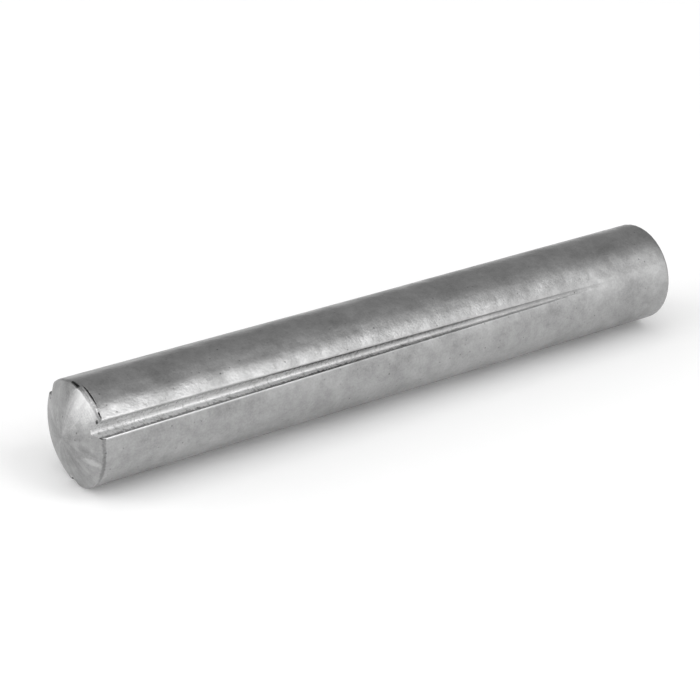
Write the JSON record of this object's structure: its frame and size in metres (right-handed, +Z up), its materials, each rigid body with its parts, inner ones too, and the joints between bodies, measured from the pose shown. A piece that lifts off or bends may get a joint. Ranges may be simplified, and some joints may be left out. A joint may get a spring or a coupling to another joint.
{
  "type": "grooved pin",
  "caption": "Solid steel taper grooved pin with crowned ends: pressed V grooves with raised lips, deepest at the driven end, run out towards the pilot end.",
  "frame": {"origin": "middle of the pin's footprint on the surface that it lies on: halfway along its length, straight below its axis", "axes": "+X along the pin's axis towards the pilot end, where the grooves have run out; +Z up; one groove faces -Z and the pin lies on its two lips"},
  "size_m": [0.035, 0.0052, 0.0051],
  "materials": {
    "bright_steel": "drawn and tumbled bright steel, plain and uncoated, with turned crowns"
  },
  "bodies": {
    "root": {"grooved_pin": "bright_steel"}
  },
  "joints": []
}
